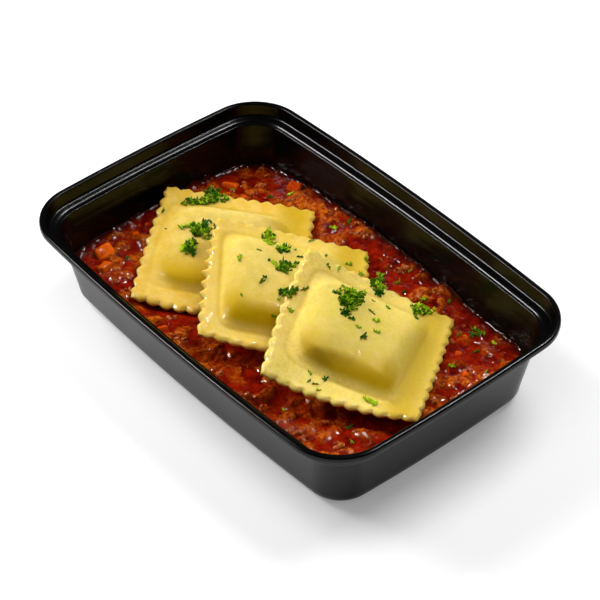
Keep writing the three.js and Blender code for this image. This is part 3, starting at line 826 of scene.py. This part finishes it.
def crumb_cells(x, y, size, seed):
    """Roundness of the nearest of many scattered crumbs, 1 on its middle, and a number that marks it."""
    chance = np.random.default_rng(seed).random((3, CHANCES, CHANCES))
    column, row = np.floor(x / size).astype(int), np.floor(y / size).astype(int)
    nearest, mark = np.full(x.shape, 9.0), np.zeros(x.shape)
    for i in (-1, 0, 1):
        for j in (-1, 0, 1):
            shift_x, shift_y, chance_mark = chance[:, (column + i) % CHANCES, (row + j) % CHANCES]
            away = np.hypot(column + i + shift_x - x / size, row + j + shift_y - y / size)
            mark = np.where(away < nearest, chance_mark, mark)
            nearest = np.minimum(nearest, away)
    return np.maximum(0, 1 - (nearest / CRUMB_REACH) ** 2), mark


sample = crumb_cells(*np.random.default_rng(0).random((2, 1000)) * 100, 5.2, 1)[0]
print("crumbs of 5.2 mm fill", round(float((sample > 0).mean()), 2), "of the surface")

# %% Sauce height
def sunk_beside_pasta(x, y):
    """How far the sauce lies lower along the front edge of each ravioli."""
    sunk = np.zeros_like(x)
    for one in RAVIOLI.values():
        level = np.stack([x, y, np.full_like(x, one["centre"][2])], 1)
        across, along, _ = ((level - one["centre"]) @ plane_of(one).T).T
        trench = np.exp(-(((along + PASTA["side"] / 2) / SAUCE["trench_reach"]) ** 2))
        sunk = np.maximum(sunk, SAUCE["trench"] * (trench * smoothstep((40 - np.abs(across)) / 14)))
    return sunk


def sauce_height(x, y):
    """Height of the sauce's surface and how much meat shows in it."""
    level = SAUCE["level"] + SAUCE["slope_x"] * x + SAUCE["slope_y"] * y
    for heap_x, heap_y, reach_x, reach_y, height in HEAPS:
        level = level + height * np.exp(-(((x - heap_x) / reach_x) ** 2 + ((y - heap_y) / reach_y) ** 2))
    lumps = np.zeros_like(x)
    for bump_x, bump_y, radius, height in BUMPS:
        near = 1 - ((x - bump_x) ** 2 + (y - bump_y) ** 2) / radius ** 2
        lumps = np.maximum(lumps, height * near)
    spot = np.stack([x, y, np.zeros_like(x)], 1)
    warp_x, warp_y = x + 0.9 * rough(spot, 2.8, 6.1), y + 0.9 * rough(spot, 2.8, 8.7)
    coarse, mark = crumb_cells(warp_x, warp_y, 5.2, 1)
    middling, _ = crumb_cells(warp_x, warp_y, 2.5, 2)
    fine, _ = crumb_cells(warp_x, warp_y, 1.3, 3)
    where = smoothstep(0.48 + 1.1 * rough(spot, 13, 4.4, 2) + 0.25 * (lumps - 0.8)) * (mark > 0.2)
    crumbs = 1.6 * coarse + 0.65 * middling + 0.28 * fine
    height = level + 0.75 * lumps + where * (crumbs - 0.95)
    height = height + (1 - where) * 0.35 * rough(spot, 4.5, 2.2, 2)
    return height, where * smoothstep((crumbs - 0.6) / 1.3)


print("sauce in the middle:", round(float(sauce_height(*np.zeros((2, 1)))[0][0]), 1), "mm high")

# %% [markdown]
# ## The sauce in the tray
# A square grid would cut the edge of the sauce into steps. Rings that follow the tray's wall, and
# shrink towards the middle, give the finest faces where they are needed: at the edge, where the sauce
# creeps up the plastic and leaves a shiny line. Each point stays a little under the pasta that lies
# over it, and rings down the wall close the sauce below.

# %% Rings along the wall
AROUND = 1080
INSET_AT_SAUCE = 11.8


def even_ring(ring, count):
    """The same closed line with evenly spaced points."""
    closed = np.vstack([ring, ring[:1]])
    run = np.concatenate([[0], np.cumsum(np.linalg.norm(np.diff(closed, axis=0), axis=1))])
    at = np.linspace(0, run[-1], count, endpoint=False)
    return np.stack([np.interp(at, run, closed[:, k]) for k in (0, 1)], 1)


def wall_ring(z):
    """A line that follows the inside of the tray at height z, just off the plastic."""
    inset = wall_inset(max(z, TRAY["foot"])) + TRAY["wall"] + SAUCE["gap"]
    radius = TRAY["foot"] - TRAY["wall"] - SAUCE["gap"]
    depth = max(0, TRAY["foot"] - z)
    inset += radius - math.sqrt(max(0, radius ** 2 - depth ** 2))
    corner = WALL_CORNER - 1 - (inset - INSET_AT_SAUCE)
    return even_ring(tray_outline(inset, corner, arc=60, side=120), AROUND)


print("the ring 18 mm up is", round(float(np.ptp(wall_ring(18)[:, 0])), 1), "mm long")

# %% Sauce mesh
NEAR_WALL = (0, 0.12, 0.25, 0.4, 0.6, 0.85, 1.2, 1.7, 2.3, 3.0)
OFF_WALL = (*NEAR_WALL, *np.linspace(3.7, 40, 64).tolist(), 46, 53)
WALL_TO_MIDDLE = 62
UNDER_PASTA = 0.3
BELOW = (12, TRAY["foot"], 4, 2.2, 1.4, 1.1)


def sauce_mesh():
    """The sauce as one closed piece, with the numbers that its finish reads."""
    rim = wall_ring(18)
    flat = np.column_stack([rim, np.zeros(AROUND)])
    creep = np.clip(1.0 + 0.7 * rough(flat, 6, 3.3, 2) + 0.35 * rough(flat, 1.6, 5.3), 0.1, 2)
    rings, meat_less_in_shade_rings, wall_shade_rings = [], [], []
    for away in OFF_WALL:
        x, y = (rim * (1 - away / WALL_TO_MIDDLE)).T
        height, meat = sauce_height(x, y)
        roof = np.array([pasta_above(*spot) for spot in zip(x, y)]) - UNDER_PASTA
        sunk = sunk_beside_pasta(x, y)
        height = np.minimum(height - sunk + creep * math.exp(-((away / 0.5) ** 1.2)), roof)
        rings.append(np.column_stack([x, y, height]))
        # Painted shade: less brown meat in the trench before each ravioli's front edge, where its shadow
        # falls.
        meat_less_in_shade_rings.append(meat * smoothstep(away / 3) * (1 - 0.3 * sunk))
        # Painted shade along the wall; the same mask calms the bumps there.
        wall_shade_rings.append(np.full(AROUND, math.exp(-((away / 2.4) ** 2))))
    below = [np.column_stack([wall_ring(z), np.full(AROUND, z)]) for z in BELOW]
    middles = (0, 0, BELOW[-1]), (0, 0, rings[-1][:, 2].mean())
    points, faces = skin_over(below[::-1] + rings, *middles)
    piece = make_piece("sauce_surface", points, faces, sauce_finish.material, "sauce")
    paint(piece, "meat_less_in_shade", np.concatenate([np.zeros(len(below) * AROUND), *meat_less_in_shade_rings, [0, 0]]))
    paint(piece, "wall_shade_and_calm", np.concatenate([np.ones(len(below) * AROUND), *wall_shade_rings, [0, 0]]))
    return piece


sauce_piece = sauce_mesh()

# %% [markdown]
# ## Where things land
# Loose bits lie on what carries them. They could be dropped by a physics run, which is slow for so
# many. A ray that is sent along the line of sight, or straight down, gives the spot where it stops and
# the direction that the surface faces there, and that is all a small bit needs.

# %% Landing spots
food_tree = tree_of([*ravioli_pieces.values(), sauce_piece])
DOWN = Vector((0, 0, -1))
SKY = 0.1  # metres, well above the rim


def landing_in_view(across, down):
    """Place and normal, in metres, where the line of sight through a spot of the view meets the food."""
    spot, normal, _, _ = food_tree.ray_cast(EYE, line_of_sight(across, down))
    return spot, normal


def open_sauce(x, y, margin):
    """The sauce's surface at x and y in millimetres, or nothing where pasta or the wall is close."""
    for dx, dy in ((0, 0), (1, 0), (-1, 0), (0, 1), (0, -1)):
        above = Vector(((x + dx * margin) * MM, (y + dy * margin) * MM, SKY))
        if pasta_tree.ray_cast(above, DOWN)[0] is not None:
            return None
        spot = food_tree.ray_cast(above, DOWN)[0]
        if spot is None:
            return None
    return np.array(food_tree.ray_cast(Vector((x * MM, y * MM, SKY)), DOWN)[0]) / MM


print("sauce beside the pasta at", np.round(open_sauce(-80, -45, 2), 1), "mm")

# %% [markdown]
# ## The mince's finish
# Fried mince is brown outside, and tomato stains it orange. One colour would make it look like gravel.
# A number on each crumb makes some browner and some more orange, and noise lays dark red sauce over all
# of them.

# %% Meat finish
meat_finish = Finish("browned_mince", soak=(0.1, 0.0015, (1.0, 0.35, 0.1)), Roughness=0.18, IOR=1.42)
tint = meat_finish.attribute("tint")
browned = meat_finish.mix(tint, (0.30, 0.035, 0.002), (0.62, 0.17, 0.018))
sauced = meat_finish.patches(1.4, 0.42, 0.6, detail=3, roughness=0.7)
meat_finish.feed("Base Color", meat_finish.mix(sauced, browned, (0.22, 0.018, 0.001)))
meat_finish.bump(meat_finish.grain(0.6, detail=3, roughness=0.7), 0.15, 0.7)

# %% [markdown]
# ## Many small bits as one piece
# Thousands of objects would be slow to handle, and instances would all look alike. A heap collects the
# points and faces of each bit, with one number for its tint, and builds a single mesh at the end.

# %% Heap of bits
def ball(detail):
    """Points and triangles of a round ball of radius 1."""
    made = bmesh.new()
    bmesh.ops.create_icosphere(made, subdivisions=detail, radius=1)
    points = np.array([v.co for v in made.verts])
    faces = np.array([[v.index for v in f.verts] for f in made.faces])
    made.free()
    return points, faces


def turned(draw):
    """A random rotation."""
    turn = Matrix.Rotation(draw(0, math.tau), 3, "X") @ Matrix.Rotation(draw(0, math.tau), 3, "Y")
    return np.array(turn @ Matrix.Rotation(draw(0, math.tau), 3, "Z"))


class Heap:
    """Collects many small bits into one mesh."""

    def __init__(self):
        self.points, self.faces, self.tints, self.count = [], [], [], 0

    def add(self, points, faces, tint):
        """Adds one bit."""
        self.points.append(points)
        self.faces += (np.asarray(faces) + self.count).tolist()
        self.tints.append(np.full(len(points), tint))
        self.count += len(points)

    def build(self, name, material):
        """Makes the piece."""
        piece = make_piece(name, np.concatenate(self.points), self.faces, material)
        paint(piece, "tint", np.concatenate(self.tints))
        return piece


BALLS = {detail: ball(detail) for detail in (1, 2, 4)}
print("balls of", [len(faces) for _, faces in BALLS.values()], "faces")

# %% [markdown]
# ## Minced meat
# Fried mince breaks into craggy clumps from a few millimetres to a centimetre. They could be sculpted
# one by one, but nobody looks at a single crumb. Each is a clump of balls whose surface noise pushes in
# and out, sunk to its own depth, so that sauce lies between the clumps. The large ones have a place,
# the rest fall at random.

# %% Meat crumbs
# Large chunks: x, y, size.
MEAT_CHUNKS = (
    (-52, 58, 9), (-78, 45, 8), (-20, -50, 8), (8, -50, 9), (28, -54, 10), (62, -48, 10), (78, -40, 9),
    (-96, -30, 7), (-62, -52, 7), (12, 55, 8), (34, 57, 7), (80, 34, 8), (88, 16, 7), (-30, 54, 7),
)
MEAT_COUNT = 300


def meat_crumbs():
    """All crumbs of mince as one piece."""
    draw = random_stream(31)
    crumbs = Heap()
    spots = [(x, y, size * 0.36) for x, y, size in MEAT_CHUNKS]
    while len(spots) < MEAT_COUNT:
        spots.append((draw(-97, 97), draw(-60, 60), 0.7 + 1.7 * draw() ** 2.5))
    for x, y, radius in spots:
        top = open_sauce(x, y, radius)
        tint = draw()
        count = 3 + round(radius * 2)
        for _ in range(count):
            shift = np.array([draw(-1, 1), draw(-1, 1), draw(-0.5, 0.3)]) * radius * 0.75
            size = radius * draw(0.35, 0.62)
            stretch = np.array([draw(0.8, 1.3), draw(0.7, 1.1), draw(0.65, 0.95)])
            turn = turned(draw)
            if top is None:
                continue
            unit, faces = BALLS[2 if size > 0.6 else 1]
            craggy = 1 + 0.4 * rough(unit, 0.7, x + y + size) + 0.2 * rough(unit, 0.3, x - y)
            middle = top + shift - (0, 0, size * 0.3)
            lump = (unit * craggy[:, None] * size * stretch) @ turn + middle
            crumbs.add(lump, faces, tint * 0.7 + 0.3 * size / radius)
    return crumbs.build("minced_meat", meat_finish.material)


meat_crumbs()

# %% [markdown]
# ## Diced carrot
# The dice are bright orange to red, with soft cut edges and a wet skin of sauce. A bevelled cube would
# do, but its faces stay flat. A ball pushed towards the shape of a cube has such edges at once, and
# noise makes each cut a little uneven.

# %% Carrot
carrot_finish = Finish("cooked_carrot", soak=(0.3, 0.002, (1.0, 0.3, 0.05)), Roughness=0.12, IOR=1.35)
ripe = carrot_finish.attribute("tint")
orange = carrot_finish.mix(ripe, (0.42, 0.02, 0.001), (0.95, 0.15, 0.002))
stained = carrot_finish.patches(3, 0.45, 0.7, 0, 0.6, detail=3)
carrot_finish.feed("Base Color", carrot_finish.mix(stained, orange, (0.30, 0.016, 0.0005)))
carrot_finish.bump(carrot_finish.grain(0.9, detail=2), 0.12, 0.6)

# Large dice: x, y, size, and how orange they are.
CARROT_DICE = ((-88, -41, 11, 1.0), (-79, -47, 8, 0.8), (-87, 33, 9, 0.6), (-66, 56, 8, 0.3),
               (62, -31, 8, 0.1), (81, -3, 7, 0.2), (58, 40, 7, 0.6), (-30, -52, 6, 0.4))
CARROT_COUNT = 40
SQUARENESS = 7


def carrot_dice():
    """All dice as one piece."""
    draw = random_stream(52)
    dice = Heap()
    unit, faces = BALLS[4]
    cube = unit / (np.abs(unit) ** SQUARENESS).sum(1, keepdims=True) ** (1 / SQUARENESS)
    spots = list(CARROT_DICE)
    while len(spots) < CARROT_COUNT:
        spots.append((draw(-97, 97), draw(-60, 60), draw(2.5, 4.5), draw(0, 0.7)))
    for x, y, size, tint in spots:
        top = open_sauce(x, y, size * 0.5)
        stretch = np.array([1, draw(0.7, 1), draw(0.7, 1)]) * size * 0.42
        tilt = Matrix.Rotation(draw(0, math.pi), 3, "Z") @ Matrix.Rotation(draw(-0.7, 0.7), 3, "X")
        if top is None:
            continue
        body = cube * (1 + 0.10 * rough(cube, 0.8, x))[:, None] * stretch
        middle = top - (0, 0, size * 0.2)
        dice.add(body @ np.array(tilt).T + middle, faces, tint)
    return dice.build("carrot_dice", carrot_finish.material)


carrot_dice()

# %% [markdown]
# ## The parsley's finish
# Fresh parsley runs from nearly black green to bright lime. One green
# would look flat, so each bit has a tint of its own, and light that soaks in a little softens it. In the
# tufts the tint is also painted light and shade: bits high in a tuft are mostly lime, low ones dark
# green.

# %% Parsley finish
parsley_finish = Finish("chopped_parsley", soak=(0.2, 0.0006, (0.3, 1.0, 0.1)), Roughness=0.45, IOR=1.4,
                        Specular_IOR_Level=0.12)
fresh = parsley_finish.attribute("tint")
green = parsley_finish.mix(fresh, (0.006, 0.075, 0.0006), (0.42, 0.62, 0.006))
parsley_finish.feed("Base Color", green)
parsley_finish.bump(parsley_finish.grain(0.5, detail=2), 0.06, 0.5)

# %% [markdown]
# ## A bit of parsley
# Chopped curly parsley is in thin, curled bits with ragged lobes. Flat cards with a drawing of a leaf
# would be quick, but they vanish when seen from the side. Here each bit is a thin solid: two ruffled
# sheets of rings round a middle, joined at their edge.

# %% Parsley bit
def leaf(draw, size, narrow=0.0, sides=28, thick=0.2):
    """A ruffled bit of curly leaf, as a thin solid lying on z = 0."""
    angles = np.arange(sides) * math.tau / sides
    lobed = 0.66 + draw(0.1, 0.26) * np.cos(3 * angles + draw(0, 6))
    reach = lobed + 0.08 * np.cos(7 * angles + draw(0, 6))
    wide = draw(0.45, 0.9) * (1 - narrow)
    outline = np.stack([np.cos(angles) * reach, np.sin(angles) * reach * wide], 1) * size / 2
    curl, ruffle, phase = draw(-0.5, 0.9), draw(0.08, 0.2) * size, draw(0, 6)
    shares = (0.35, 0.7, 1.0)

    def sheet(z):
        """The middle and three rings of points of one side of the leaf."""
        flat = np.vstack([[[0, 0]], *[outline * share for share in shares]])
        share = np.concatenate([[0], np.repeat(shares, sides)])
        turns = np.concatenate([[0], np.tile(angles, len(shares))])
        height = curl * flat[:, 0] ** 2 / size + ruffle * share ** 2 * np.sin(5 * turns + phase)
        return np.column_stack([flat, height + z])

    points = np.vstack([sheet(thick / 2), sheet(-thick / 2)])
    under = 1 + len(shares) * sides
    k = np.arange(sides)
    j = (k + 1) % sides
    faces = []
    for start, flip in ((0, 1), (under, -1)):
        skins = [np.stack([k * 0 + start, start + 1 + k, start + 1 + j], 1)]
        for ring in (0, 1):
            a, b = start + 1 + ring * sides, start + 1 + (ring + 1) * sides
            skins += [np.stack([a + k, b + k, b + j], 1), np.stack([a + k, b + j, a + j], 1)]
        faces.append(np.concatenate(skins)[:, ::flip])
    a = 1 + 2 * sides
    faces.append(np.stack([a + k, under + a + k, under + a + j], 1))
    faces.append(np.stack([a + k, under + a + j, a + j], 1))
    return points, np.concatenate(faces)


def lay(leaves, draw, spot, normal, size, tilt, tint, lift=0.0, narrow=0.0):
    """Lays one bit of leaf on the food, turned at random and tilted by up to `tilt` radians."""
    points, faces = leaf(draw, size, narrow)
    facing = Vector(normal).to_track_quat("Z", "Y").to_matrix()
    spun = facing @ Matrix.Rotation(draw(0, math.tau), 3, "Z")
    turn = spun @ Matrix.Rotation(draw(-tilt, tilt), 3, "X")
    middle = np.array(spot) / MM + np.array(normal) * (0.2 + lift)
    leaves.add(points @ np.array(turn).T + middle, faces, tint)


print("a bit of parsley has", len(leaf(random_stream(1), 4)[1]), "faces")

# %% [markdown]
# ## Parsley over the dish
# Some bits lie alone and some in small tufts, which are many bits at all angles over one spot. A
# particle system would scatter them evenly, but a cook's pinch is uneven. So each has its spot, given
# in points of the view, and it lands on whatever lies there.

# %% Parsley spots
# Single bits: across, down, size.
SINGLE_BITS = (
    (184, 204, 3), (193, 201, 2.5), (163, 211, 3), (215, 226, 2.2), (166, 229, 1.2), (259, 250, 2),
    (240, 258, 4), (269, 260, 2.2), (295, 250, 2.5), (300, 257, 3), (262, 281, 3.6), (265, 277, 2),
    (241.5, 295, 2), (274, 316, 2.6), (279, 299.5, 1.6), (311, 241, 3), (366, 259, 3), (305, 289, 4),
    (290.5, 310, 3.4), (326, 256, 3), (328, 266, 2.8), (339, 268.5, 3.6), (349, 264.5, 3.4),
    (361, 274, 3.4), (385, 289, 2.4), (388, 308, 2.8), (371.5, 312, 3), (352, 319, 3.2),
    (376, 321, 3.6), (358, 327, 2.6), (377, 332, 2.8), (364, 337, 3.4), (373, 301, 1.8),
    (309, 381, 2.2), (325, 379, 3.2), (310, 373, 2.4), (315, 384, 3), (318, 390, 1.8), (398, 283, 3),
    (409, 271, 3), (404, 292, 2.4), (424, 299, 3), (449, 302, 3), (452, 366, 3.4), (459, 335, 2),
    (476, 352, 2.4), (486, 372, 2.4), (494, 343, 2.4), (349, 428, 3.4), (352, 442, 2), (284, 410, 2),
    (127, 260, 3.4), (290, 194.5, 3), (271, 197, 3), (334, 228, 3.6), (349, 222, 3), (233, 190, 2),
)
LIME_STALK = ((365.5, 399), (368, 400.2), (370.5, 401.4), (373, 402.8), (375.5, 404.2))
# Tufts: across, down, half width and half height in the view, and how thick with bits.
TUFTS = (
    (214, 197, 12, 7, 60), (193, 202, 9, 3, 16), (200, 229, 17, 8, 70), (189, 247, 8, 9, 44),
    (268, 238, 6, 8, 26), (283, 250, 8, 4, 22), (286, 266, 12, 5, 44), (288, 293, 8, 4, 24),
    (350, 299, 14, 13, 120), (378, 286, 6, 11, 36), (422, 311, 10, 6, 40), (476, 333, 6, 4, 14),
)
print(len(SINGLE_BITS), "single bits and", len(TUFTS), "tufts")


# %% Parsley
def parsley():
    """All parsley as one piece."""
    draw = random_stream(77)
    leaves = Heap()
    for across, down, size in SINGLE_BITS:
        spot, normal = landing_in_view(across, down)
        if spot is not None:
            lay(leaves, draw, spot, normal, size * 1.6, 0.3, draw() ** 1.5, narrow=draw(0.1, 0.5))
    for across, down in LIME_STALK:
        spot, normal = landing_in_view(across, down)
        lay(leaves, draw, spot, normal, 4.6, 0.25, 0.95, 0.2, 0.15)
    for across, down, wide, high, count in TUFTS:
        spin = draw(0, 6)
        for _ in range(round(count * 0.65)):
            angle, reach = draw(0, math.tau), math.sqrt(draw())
            ragged = reach * (0.9 + 0.38 * math.sin(3 * angle + spin))
            beside, below = wide * ragged * math.cos(angle), high * ragged * math.sin(angle)
            spot, normal = landing_in_view(across + beside, down + below)
            if spot is None:
                continue
            heap = (1 - reach ** 2) * min(wide, high) / 9
            lift = draw()
            # Painted light and shade: bits lifted high in a tuft mostly get a bright lime tint, the low
            # ones a dark green.
            tint = draw(0.4, 1) if draw() < 0.25 + 0.5 * lift ** 2 else draw(0, 0.18)
            lay(leaves, draw, spot, normal, draw(3.5, 6.8), 0.6, tint, 1.3 * lift * heap, draw(0.1, 0.5))
    return leaves.build("parsley", parsley_finish.material)


parsley()

# %% [markdown]
# ## The floor
# A pale, dull floor that glows a little stands in for a studio sweep. A curved sheet would hide its far
# edge, but the edge is out of view from this height, so one large square is enough.

# %% Floor
floor_finish = Finish("pale_floor", Base_Color=(0.93, 0.93, 0.93, 1), Roughness=0.8,
                      Emission_Strength=0.25, Emission_Color=(1, 1, 1, 1))
floor_mesh = bpy.data.meshes.new("floor")
corners = [(-3, -3, 0), (3, -3, 0), (3, 3, 0), (-3, 3, 0)]  # metres
floor_mesh.from_pydata(corners, [], [(0, 1, 2, 3)])
floor_mesh.materials.append(floor_finish.material)
floor = bpy.data.objects.new("floor", floor_mesh)
bpy.context.scene.collection.objects.link(floor)
print("floor", floor.dimensions.x, "m wide")

# %% [markdown]
# ## The light
# One large lamp could light all, but its reflection would fog the black plastic. So the light is split
# in two. Three large soft boxes, behind, to the left and overhead, are hidden from glossy rays: they
# shape the pillows, whose near slopes fall into shade. Two narrow strips, which only glossy rays see,
# draw the thin lines along the rim and the glints in the sauce. A dim world fills the shadows.

# %% Lamps
LAMP_DISTANCE = 1.2


def soft_box(name, azimuth, elevation, size, watts, matte, along=(1, 0, 0)):
    """A lamp that looks at the food, its long side towards `along`, for matte or for glossy light."""
    data = bpy.data.lights.new(name, "AREA")
    data.shape = "RECTANGLE"
    data.size, data.size_y = size
    data.energy = watts
    lamp = bpy.data.objects.new(name, data)
    azimuth, elevation = math.radians(azimuth), math.radians(elevation)
    away = Vector((math.cos(azimuth) * math.cos(elevation), math.sin(azimuth) * math.cos(elevation),
                   math.sin(elevation)))
    long_side = (Vector(along) - away * away.dot(Vector(along))).normalized()
    lamp.matrix_world = Matrix((long_side, away.cross(long_side), away)).transposed().to_4x4()
    lamp.location = away * LAMP_DISTANCE
    lamp.visible_diffuse, lamp.visible_glossy = matte, not matte
    bpy.context.scene.collection.objects.link(lamp)


soft_box("back_wash", 90, 55, (0.7, 0.7), 9.6, matte=True)
soft_box("left_wash", 200, 34, (0.6, 0.6), 13.8, matte=True)
soft_box("overhead_wash", 290, 74, (0.9, 0.9), 3.2, matte=True)
soft_box("back_strip", 95, 59, (0.32, 0.03), 6.8, matte=False, along=(0, 1, 0))
soft_box("left_strip", 217, 44, (0.32, 0.045), 11.0, matte=False)

world = bpy.data.worlds.new("studio")
world.use_nodes = True
background = world.node_tree.nodes["Background"]
background.inputs["Color"].default_value = (1, 1, 1, 1)
background.inputs["Strength"].default_value = 0.04
bpy.context.scene.world = world
display = bpy.context.scene.view_settings
display.view_transform = "Standard"
display.look = "None"
display.exposure = 0.0
print(len(bpy.data.lights), "lamps")
